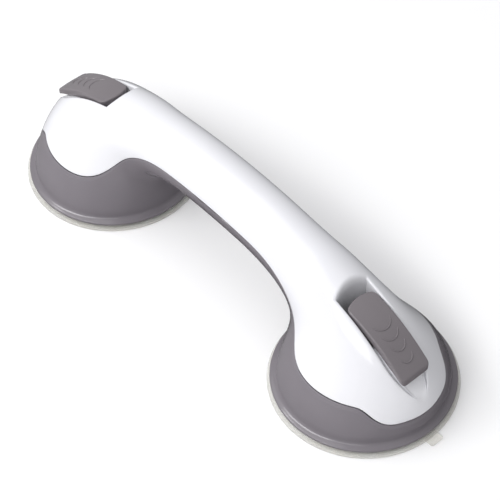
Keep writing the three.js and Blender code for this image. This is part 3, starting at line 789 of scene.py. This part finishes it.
def lower_half():
    """Closed sections of the grey shell's wall, one for each column, and where its lip lies."""
    outward, skin = half_columns()
    normal = skin_normal(skin)
    normal[AROUND + NECK:, -1, 0] = 0
    normal[[0, -1], :, 1] = 0
    inner = skin - normal * WALL
    inner[AROUND + NECK:, -1, 0] = 0
    on_seam = (np.arange(len(skin)) <= AROUND + NECK)[:, None, None]
    away = np.linalg.norm(skin - skin[:, -1:], axis=-1)[..., None]
    sunk = EDGE_SUNK * (1 - smooth(0.4, 2.4, away)) * on_seam
    outer = skin - normal * sunk
    top, n = outer[:, -1], normal[:, -1]
    along = outer[:, -1] - outer[:, -2]
    along /= np.linalg.norm(along, axis=1, keepdims=True)
    # the column at mid length meets its mirror image, so it has no rounded lip
    seam_only = (np.arange(len(skin)) < AROUND + NECK)[:, None]
    lip = []
    for degrees in (30, 60, 90):
        turn = math.radians(degrees)
        step = -along * GREY_LIP * (1 - math.sin(turn)) - n * GREY_LIP * (1 - math.cos(turn))
        lip.append(top + np.where(seam_only, step, -n * 0.2 * degrees / 90))
    lip = np.stack(lip, 1)
    outer[:, -1] = np.where(seam_only, top - along * GREY_LIP, top)
    rings = np.concatenate([rim_rows(outward, RIM_OUTSIDE), outer, lip, inner[:, ::-1],
                            rim_rows(outward, RIM_INSIDE)], 1)
    lip_start = len(RIM_OUTSIDE) + ROWS
    return rings, range(lip_start, lip_start + lip.shape[1] + 1)


def lower_shell_body():
    """Both cups' walls, which meet in the columns at mid length."""
    half, lip = lower_half()
    other = half[-2:0:-1] * (1, -1, 1)
    cup = np.concatenate([half, other])
    columns, size = cup.shape[:2]
    on_seam = [min(i, columns - i) < AROUND + NECK for i in range(columns)]
    points, faces = [], []
    for end, flip in enumerate((1, -1)):
        points.append(cup.reshape(-1, 3) * (flip, 1, 1))
        for i in range(columns):
            k = (i + 1) % columns
            for j in range(size):
                if j in lip and not (on_seam[i] or on_seam[k]):
                    continue
                m = (j + 1) % size
                quad = [(end * columns + a) * size + b for a, b in ((i, j), (i, m), (k, m), (k, j))]
                faces.append(quad[::flip])
    return np.concatenate(points) + (0, 0, RIM_Z), faces


def deck():
    """The web across the inside of one bell, with its holes for the stem and the screws."""
    side = first_crossing(np.array([CUP_X, 0, DECK_HI - RIM_Z]), np.array([0, 1.0, 0]), True)[1]
    disc = moved(ring_body(DECK_HOLE_R, side - WALL * 0.8, DECK_LO, DECK_HI, 144), CUP_X)
    obj = make_object("deck", *disc)
    tools = [moved(ring_body(0.01, BORE_R, DECK_LO - 1, DECK_HI + 1, 32), x, y)
             for x, y in screw_places()]
    tools.append(block(DECK_END, CUP_X + 60, -60, 60, DECK_LO - 1, DECK_HI + 1))
    cut(obj, tools)
    points = np.array([v.co for v in obj.data.vertices]) / MM
    faces = [tuple(f.vertices) for f in obj.data.polygons]
    bpy.data.objects.remove(obj)
    return points, faces


def grip_seat():
    """Seat of the screw under the grip, with its counterbore."""
    bottom, outside = GRIP_SEAT - 2.6, 5.2
    profile = [(COUNTERBORE_R, bottom), (outside, bottom), (outside, GRIP_SEAT_TOP),
               (BORE_R, GRIP_SEAT_TOP), (BORE_R, GRIP_SEAT), (COUNTERBORE_R, GRIP_SEAT)]
    return moved(lathe(profile, 64), GRIP_SCREW_X)


def counterbore_tool():
    """Opens the skin under the grip, a hair wider than the seat's own counterbore."""
    radius = COUNTERBORE_R + 0.1
    return moved(capped_tube([[(radius * math.cos(a), radius * math.sin(a), z) for a in full_turn(64)]
                              for z in (GRIP_SEAT - 20, GRIP_SEAT - 0.4)]), GRIP_SCREW_X)


def make_lower_shell():
    obj = make_object("lower_shell", *lower_shell_body(), merge=0.004)
    cut(obj, [counterbore_tool(), turned_half(counterbore_tool())])
    inside = [deck(), grip_seat()]
    inside += [turned_half(part) for part in inside]
    add_bodies(obj, inside)
    dress(obj, "lower_shell", "shell_grey", "handle")


# ---- lever ----
LEVER_IN = LEVER_LO[0] - CUP_X
LEVER_OUT = LEVER_HI[0] - CUP_X
LEVER_HALF = LEVER_HI[1]
LEVER_BOW = 2.2                # its inner end bows inwards
LEVER_CORNER = 2.4             # plan radius of its corners
LEVER_EDGE = 0.95              # rounding of its long edges
CROWN = 0.5                    # its face is this much higher along the middle
TOP_RISE = 9.0                 # height of its face above the pin, and how that falls with x
TOP_SLOPE = 0.2
TOP_BEND = 0.0093
CAM_LOCKED = PIN_Z - PLATE_HI[2] - 0.3
CAM_RATE = STEM_DROP / (math.pi / 2)
CHEEK_IN = 3.6                 # its two cheeks stand either side of the stem
CHEEK_OUT = PIN_HI[1]
PIN_R = (PIN_HI[0] - PIN_LO[0]) / 2
HOLE_R = PIN_R + 0.3
RIDGES = 4                     # raised arcs on its face
RIDGE_R = 6.1                  # radius of the first, and how much smaller each next one is
RIDGE_SHRINK = 0.62
RIDGE_X = 13.9                 # reach of the first from the pin, and the step to each next one
RIDGE_STEP = 5.5


def lever_top(x, y=0.0):
    """Height of the lever's upper face, x measured from the pin."""
    return PIN_Z + TOP_RISE - TOP_SLOPE * x - TOP_BEND * x * x - CROWN * (y / LEVER_HALF) ** 2


def lever_section(x, width_inset, height_inset):
    """One closed section of the lever's arm: top, rounded edge, side, underside and back."""
    half = LEVER_HALF - width_inset
    thick = mix(4.4, 5.6, smooth(LEVER_IN, 6, x)) - 1.5 * smooth(22, LEVER_OUT, x)
    flat = half - LEVER_EDGE
    right = [(y, lever_top(x, y) - height_inset) for y in np.linspace(0, flat, 14)]
    edge_z = right[-1][1] - LEVER_EDGE
    right += arc((flat, edge_z), LEVER_EDGE, 78, 0, 7)
    foot = lever_top(x) - thick + height_inset
    foot_edge = 0.5
    right += [(half - 0.1, mix(edge_z, foot + foot_edge, 0.5))]
    right += arc((half - foot_edge - 0.15, foot + foot_edge), foot_edge, 0, -90, 4)
    # between the cheeks the underside is hollowed to clear the stem's head
    recess = max(foot, PIN_Z + 5.0) if x < 7 else foot
    right += [(y, foot) for y in (7.0, 5.4, CHEEK_IN + 0.3)]
    right += [(CHEEK_IN + 0.15, recess), (1.8, recess), (0.0, recess)]
    left = [(-y, z) for y, z in right[-2:0:-1]]
    return np.array([(x, y, z) for y, z in right + left])


def end_inset(distance, radius):
    """How far a rounded end has drawn in at a distance from its tip."""
    d = min(distance, radius)
    return radius - math.sqrt(max(radius ** 2 - (radius - d) ** 2, 0))


def lever_arm():
    """The arm as one closed tube of sections; each end face closes on its own mid line."""
    start, end = LEVER_IN + LEVER_BOW, LEVER_OUT
    near_end = LEVER_CORNER * (1 - np.cos(np.linspace(0, math.pi / 2, 9)))
    xs = np.concatenate([start + near_end, np.linspace(start + 3, end - 3, 80), end - near_end[::-1]])
    rings = []
    for x in xs:
        distance = min(x - start, end - x)
        section = lever_section(x, end_inset(distance, LEVER_CORNER), end_inset(distance, 0.9))
        pull = LEVER_BOW * (1 - smooth(start, start + 12, x))
        slope = -TOP_SLOPE - 2 * TOP_BEND * x
        shift = -pull * (1 - (section[:, 1] / LEVER_HALF) ** 2)
        section[:, 0] += shift
        section[:, 2] += shift * slope
        rings.append(section)
    return capped_tube([squeeze(rings[0]), *rings, squeeze(rings[-1])])


def squeeze(ring):
    """A ring drawn slightly together, so that the end face has a soft border."""
    return mix(ring, ring.mean(0), 0.12)


def around_pin(radii, y0, y1):
    """A body round the pin's axis with a hole for the pin; radii gives the outer radius by angle."""
    c = 0.2
    angles = full_turn(len(radii))
    profile = [(HOLE_R, y0), (-c, y0), (0, y0 + c), (0, y1 - c), (-c, y1), (HOLE_R, y1)]
    rings = []
    for angle, radius in zip(angles, radii):
        ring = []
        for r, y in profile:
            reach = r if r == HOLE_R else radius + r
            ring.append((CUP_X + reach * math.cos(angle), y, PIN_Z + reach * math.sin(angle)))
        rings.append(ring)
    return closed_tube(rings)


def cam_outline():
    """The cheek's outline about the pin: the cam's reach falls evenly as the lever opens."""
    turn = np.linspace(0, math.pi / 2, 40)
    reach = CAM_LOCKED - CAM_RATE * turn
    cam = np.stack([-reach * np.sin(turn) + CAM_RATE * np.cos(turn),
                    -reach * np.cos(turn) - CAM_RATE * np.sin(turn)], -1)
    back = [(LEVER_IN + 1.4, lever_top(LEVER_IN) - PIN_Z - 2), (8.5, lever_top(8.5) - PIN_Z - 2),
            (7.5, -6.5)]
    corners = np.array([*cam[::-1][:1], *back, *cam[:1]])
    straight = np.concatenate([np.linspace(a, b, 20) for a, b in zip(corners[:-1], corners[1:])])
    outline = np.concatenate([cam, straight])
    angles = np.arctan2(outline[:, 1], outline[:, 0]) % (2 * np.pi)
    order = np.argsort(angles)
    steps = full_turn(128)
    return np.interp(steps, angles[order], np.hypot(*outline[order].T), period=2 * np.pi)


def ridge(index):
    """One of the raised arcs on the lever's face, each smaller than the one before."""
    radius = RIDGE_R - RIDGE_SHRINK * index
    middle = RIDGE_X + RIDGE_STEP * index - radius
    angles = np.radians(np.linspace(-72, 72, 41))
    x = middle + radius * np.cos(angles)
    y = radius * np.sin(angles)
    path = np.stack([CUP_X + x, y, lever_top(x, y) + 0.02], -1)
    thickness = 0.34 * np.sqrt(np.clip(1 - (np.abs(angles) / angles.max()) ** 6, 0.04, 1))
    return sweep(path, thickness, 10)


def make_lever(end, place):
    parts = [moved(lever_arm(), CUP_X)]
    outline = cam_outline()
    parts += [around_pin(outline, CHEEK_IN, CHEEK_OUT), around_pin(outline, -CHEEK_OUT, -CHEEK_IN)]
    parts += [ridge(i) for i in range(RIDGES)]
    finish_piece(f"{end}_lever", place(joined(parts)), "lever_grey", f"{end}_lever", smooth_angle=32)


# ---- pad, plunger, spring, pin, plate and screws ----
PAD_T = 2.4
PAD_LIFT = PAD_HI[2] - PAD_T   # how far the locked stem lifts the middle of the pad
FACE_R = 34.0                  # outside this radius the pad lies on the wall
DISC_R = PLUNGER_HI[1]
DISC_T = 2.7
STEM_R = 3.2
HEAD_R = PLUNGER_HI[2] - PIN_Z
TAB_HALF = 4.0
TAB_CORNER = 1.2


def pad_disc():
    radii = np.concatenate([np.linspace(0, 12, 5), np.linspace(12, FACE_R, 26)[1:]])
    rise = PAD_LIFT * (1 - smooth(DISC_R - 4, FACE_R, radii))
    below = list(zip(radii, rise))
    above = list(zip(radii, rise + PAD_T))[::-1]
    edge = [(PAD_R - 0.5, 0.0), (PAD_R - 0.12, 0.12), (PAD_R, 0.4), (PAD_R, 0.8), (PAD_R - 0.2, 1.1),
            (PAD_R - 0.9, 1.5), (PAD_R - 2.4, PAD_T - 0.3), (PAD_R - 3.4, PAD_T)]
    return lathe([*below, *edge, *above], 160)


def pad_tab():
    """Pull tab with rounded corners and a raised border at its tip."""
    inner, outer = PAD_R - 2.2, PAD_HI[0] - CUP_X
    tip, side = outer - TAB_CORNER, TAB_HALF - TAB_CORNER
    outline = [(inner, -TAB_HALF), *arc((tip, -side), TAB_CORNER, -90, 0, 5),
               *arc((tip, side), TAB_CORNER, 0, 90, 5), (inner, TAB_HALF)]
    centre = np.array([(inner + outer) / 2, 0])
    rings = []
    for share, z in ((0.94, 0.2), (1.0, 0.32), (1.0, 1.05), (0.95, 1.2), (0.8, 1.2), (0.74, 0.95)):
        rings.append([(*(centre + (np.array(p) - centre) * share), z) for p in outline])
    return capped_tube(rings)


def stretch_piece(obj):
    """Bakes a piece's placement into its mesh."""
    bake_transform(obj)


def make_pad(end, place):
    pad = moved(joined([pad_disc(), pad_tab()]), CUP_X)
    obj = finish_piece(f"{end}_suction_pad", place(pad), "pad_clear", None, merge=0.001)
    stretch_piece(obj)


def make_plunger(end, place):
    bottom = PLUNGER_LO[2]
    top = bottom + DISC_T
    neck = PIN_Z - HOLE_R - 0.6
    profile = [(0, bottom), (DISC_R - 0.4, bottom), (DISC_R, bottom + 0.4), (DISC_R, top - 0.4),
               (DISC_R - 0.4, top), (5.6, top), (4.4, top + 0.35), (3.6, top + 1.1), (STEM_R, top + 2.4),
               (STEM_R, neck), (0, neck)]
    stem = moved(lathe(profile), CUP_X)
    eye = around_pin(np.full(96, HEAD_R), -STEM_R, STEM_R)
    finish_piece(f"{end}_plunger", place(joined([stem, eye])), "nylon", f"{end}_stem", merge=0.001)


def make_pin(end, place):
    length = PIN_HI[1]
    c = 0.35
    profile = [(0, -length), (PIN_R - c, -length), (PIN_R, -length + c), (PIN_R, length - c),
               (PIN_R - c, length), (0, length)]
    points, faces = lathe(profile, 48)
    points = points[:, [0, 2, 1]] + (CUP_X, 0, PIN_Z)
    finish_piece(f"{end}_pivot_pin", place((points, faces)), "zinc_steel", f"{end}_stem", merge=0.001)


def make_spring(end, place):
    """Compression spring of round wire; its ends lie flat."""
    wire, turns = 0.55, 4.5
    radius = SPRING_HI[1] - wire
    low, high = SPRING_LO[2] + wire, SPRING_HI[2] - wire
    turn = np.linspace(0, turns, 4 * 60)
    climb = smooth(0.45, turns - 0.45, turn)
    path = np.stack([CUP_X + radius * np.cos(2 * np.pi * turn), radius * np.sin(2 * np.pi * turn),
                     mix(low, high, climb)], -1)
    obj = finish_piece(f"{end}_return_spring", place(sweep(path, wire, 12)), "spring_steel", None)
    stretch_piece(obj)


def screw(x, y, seat, length):
    """Pan-head screw, head down, with a cross recess and a thread that winds up the shank."""
    turns = full_turn(48)
    bottom = seat - SCREW_HEAD
    pitch, core, crest = 1.25, 1.2, 0.3
    heights = np.linspace(seat + 0.4, seat + length - 1.4, 80)
    rings = []
    for turn in turns:
        cross = 0.45 + 0.95 * abs(math.cos(2 * turn)) ** 5
        profile = [(0, bottom + 1.2), (cross * 0.6, bottom + 1.1), (cross, bottom + 0.02), (1.9, bottom),
                   (2.55, bottom + 0.25), (2.9, bottom + 0.8), (3.0, seat - 0.25), (2.85, seat),
                   (core + 0.25, seat)]
        phase = (heights / pitch - turn / (2 * np.pi)) % 1
        thread = core + crest * np.clip(1 - np.abs(phase - 0.5) * 2.6, 0, 1)
        profile += list(zip(thread, heights))
        profile += [(0.75, seat + length - 0.5), (0, seat + length)]
        rings.append([(x + r * math.cos(turn), y + r * math.sin(turn), z) for r, z in profile])
    return closed_tube(rings)


def make_screws(end, place):
    low, high = node_box("near_housing_screw_1")
    length = high[2] - low[2] - SCREW_HEAD
    screws = [(f"{end}_housing_screw_{i + 1}", screw(x, y, low[2] + SCREW_HEAD, length))
              for i, (x, y) in enumerate(screw_places())]
    screws.append((f"{end}_grip_screw", screw(GRIP_SCREW_X, 0, GRIP_SCREW_LO[2] + SCREW_HEAD, length)))
    for name, part in screws:
        finish_piece(name, place(part), "zinc_steel", "handle", merge=0.001)


def plate_loop(x0, x1, half, radius, steps=6):
    """Corner points of a rounded rectangle, centred on y = 0."""
    loop = []
    for cx, cy, start in ((x1 - radius, half - radius, 0), (x0 + radius, half - radius, 90),
                          (x0 + radius, -half + radius, 180), (x1 - radius, -half + radius, 270)):
        loop += arc((cx, cy), radius, start, start + 90, steps)
    return np.array(loop)


def make_plate(end, place):
    """Pressed steel plate that the cam runs on, with its slot for the stem."""
    outer = plate_loop(PLATE_LO[0], PLATE_HI[0], PLATE_HI[1], 1.5)
    inner = plate_loop(CUP_X - SLOT_HALF_X, CUP_X + SLOT_HALF_X, SLOT_HALF_Y, 0.8)
    low, high = PLATE_LO[2], PLATE_HI[2]
    centre = np.array([CUP_X, 0])
    c = 0.2
    rings = []
    for a, b in zip(outer, inner):
        shy = a - (a - centre) / np.linalg.norm(a - centre) * c
        wide = b + (b - centre) / np.linalg.norm(b - centre) * c
        rings.append([(*b, low), (*shy, low), (*a, low + c), (*a, high - c), (*shy, high), (*wide, high),
                      (*b, high - c)])
    finish_piece(f"{end}_cam_plate", place(closed_tube(rings)), "zinc_steel", "handle")


def make_cup_pieces():
    for end, place in (("near", lambda part: part), ("far", turned_half)):
        make_lever(end, place)
        make_pad(end, place)
        make_plunger(end, place)
        make_pin(end, place)
        make_spring(end, place)
        make_screws(end, place)
        make_plate(end, place)


# ---- camera, light and floor ----
CAMERA_AZIMUTH = 50.11
CAMERA_ELEVATION = 50.20
CAMERA_ROLL = -1.818
CAMERA_DISTANCE = 1032.2
LENS = 139.25
LENS_SHIFT = (0.0326, 0.0259)
LIGHT_AIM = Vector((0, 0, 0.03))


def make_camera():
    azimuth, elevation = math.radians(CAMERA_AZIMUTH), math.radians(CAMERA_ELEVATION)
    back = Vector((math.sin(azimuth) * math.cos(elevation), -math.cos(azimuth) * math.cos(elevation),
                   math.sin(elevation)))
    right = Vector((math.cos(azimuth), math.sin(azimuth), 0))
    up = back.cross(right)
    roll = math.radians(CAMERA_ROLL)
    right, up = right * math.cos(roll) + up * math.sin(roll), up * math.cos(roll) - right * math.sin(roll)
    data = bpy.data.cameras.new("camera")
    data.sensor_width = 36
    data.lens = LENS
    data.shift_x, data.shift_y = LENS_SHIFT
    data.clip_start, data.clip_end = 0.05, 20
    camera = linked("camera", data)
    turn = Matrix((right, up, back)).transposed()
    camera.rotation_mode = "QUATERNION"
    camera.rotation_quaternion = turn.to_quaternion()
    camera.location = back * CAMERA_DISTANCE * MM + Vector((0, 0, RIM_Z * MM))
    bpy.context.scene.camera = camera


def make_softbox(name, place, size, power):
    data = bpy.data.lights.new(name, "AREA")
    data.shape = "RECTANGLE"
    data.size, data.size_y = size
    data.energy = power
    light = linked(name, data)
    light.location = place
    light.rotation_mode = "QUATERNION"
    light.rotation_quaternion = (LIGHT_AIM - Vector(place)).to_track_quat("-Z", "Y")


def make_world():
    """Pale surroundings, brightest up on the left and dark only from below on the right."""
    world = bpy.data.worlds.new("studio")
    world.use_nodes = True
    nodes, links = world.node_tree.nodes, world.node_tree.links
    coordinates = nodes.new("ShaderNodeTexCoord")
    facing = nodes.new("ShaderNodeVectorMath")
    facing.operation = "DOT_PRODUCT"
    facing.inputs[1].default_value = (-0.35, -0.3, 0.89)
    ramp = nodes.new("ShaderNodeValToRGB")
    ramp.color_ramp.elements[0].color = (0.02, 0.02, 0.022, 1)
    ramp.color_ramp.elements[1].color = (1.1, 1.1, 1.13, 1)
    for position, level in ((0.2, 0.05), (0.33, 0.42), (0.5, 0.52), (0.75, 0.85)):
        ramp.color_ramp.elements.new(position).color = (level, level, level * 1.02, 1)
    spread = nodes.new("ShaderNodeMapRange")
    spread.inputs["From Min"].default_value = -1.0
    links.new(coordinates.outputs["Generated"], facing.inputs[0])
    links.new(facing.outputs["Value"], spread.inputs["Value"])
    links.new(spread.outputs["Result"], ramp.inputs["Fac"])
    links.new(ramp.outputs["Color"], nodes["Background"].inputs["Color"])
    nodes["Background"].inputs["Strength"].default_value = 0.7
    bpy.context.scene.world = world


def make_floor():
    size = 6000.0
    obj = make_object("floor", [(-size, -size, 0), (size, -size, 0), (size, size, 0), (-size, size, 0)],
                      [(0, 1, 2, 3)])
    material, shader = new_material("floor")
    vary_colour(shader, noise(shader, 3), (0.93, 0.93, 0.93), (0.95, 0.95, 0.95))
    shader.inputs["Roughness"].default_value = 0.7
    shader.inputs["Specular IOR Level"].default_value = 0.1
    obj.data.materials.append(material)
    obj.visible_glossy = False
    obj.location.z = -0.0002


def make_studio():
    make_camera()
    make_world()
    make_floor()
    make_softbox("overhead", (-0.5, -0.4, 1.2), (1.5, 1.2), 6.6)
    make_softbox("strip", (-0.26, -0.78, 1.0), (1.1, 0.22), 6)
    make_softbox("front", (0.5, -0.93, 0.88), (0.8, 0.3), 2.6)
    scene = bpy.context.scene
    scene.view_settings.view_transform = "Standard"
    scene.view_settings.look = "None"


make_studio()
make_upper_shell()
make_lower_shell()
make_cup_pieces()
